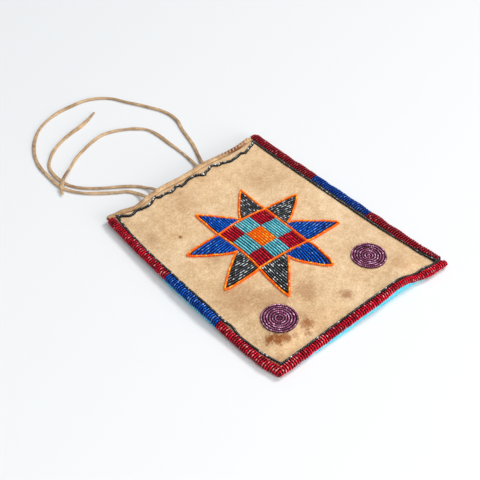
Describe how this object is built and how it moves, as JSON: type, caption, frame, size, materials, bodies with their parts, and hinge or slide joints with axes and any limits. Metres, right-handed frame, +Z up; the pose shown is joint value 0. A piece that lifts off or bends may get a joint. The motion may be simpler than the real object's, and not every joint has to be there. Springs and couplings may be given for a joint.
{
  "type": "beaded flat bag",
  "caption": "Flat hide bag lying face down: bead-wrapped seams, a beaded star and rosettes on its plain back, a light-blue beaded front, and a thong carrying loop at its open mouth.",
  "frame": {"origin": "middle of the bag without its thong, on the table under it", "axes": "+X across the bag to its right edge, +Y from the foot to the mouth, +Z up from the table through the beaded front and the plain back"},
  "size_m": [0.1858, 0.3739, 0.0137],
  "materials": {
    "hide": "soft tanned hide, flesh side out, mottled and stained",
    "binding": "darker hide strip, whip stitched",
    "thong": "soft cut thong",
    "red_beads": "glossy dark red seed beads",
    "blue_beads": "glossy cobalt seed beads",
    "dark_beads": "metallic gunmetal seed beads",
    "orange_beads": "glossy orange seed beads",
    "turquoise_beads": "greasy turquoise seed beads",
    "light_blue_beads": "bright light-blue seed beads",
    "purple_beads": "lustred purple seed beads"
  },
  "bodies": {
    "root": {"back_panel": "hide", "front_panel": "hide", "front_bead_field": "light_blue_beads", "front_bead_left": "light_blue_beads", "front_bead_right": "light_blue_beads", "front_bead_foot": "light_blue_beads", "back_mouth_binding": "binding", "front_mouth_binding": "binding", "left_edging_lower_red": "red_beads", "left_edging_blue": "blue_beads", "left_edging_upper_red": "red_beads", "right_edging_lower_red": "red_beads", "right_edging_blue": "blue_beads", "right_edging_upper_red": "red_beads", "foot_edging_red": "red_beads", "left_bead_line": "dark_beads", "right_bead_line": "dark_beads", "foot_bead_line": "dark_beads", "mouth_bead_line": "dark_beads", "star_point_top_left": "blue_beads", "star_point_top_right": "dark_beads", "star_point_right_upper": "dark_beads", "star_point_right_lower": "blue_beads", "star_point_bottom_right": "blue_beads", "star_point_bottom_left": "dark_beads", "star_point_left_lower": "dark_beads", "star_point_left_upper": "blue_beads", "checker_bottom_left": "red_beads", "checker_bottom_middle": "turquoise_beads", "checker_bottom_right": "red_beads", "checker_middle_left": "turquoise_beads", "checker_middle_middle": "orange_beads", "checker_middle_right": "turquoise_beads", "checker_top_left": "red_beads", "checker_top_middle": "turquoise_beads", "checker_top_right": "red_beads", "star_outline": "orange_beads", "rosette_left": "purple_beads", "rosette_right": "purple_beads", "carry_loop": "thong", "right_tail": "thong", "left_tail": "thong"}
  },
  "joints": []
}
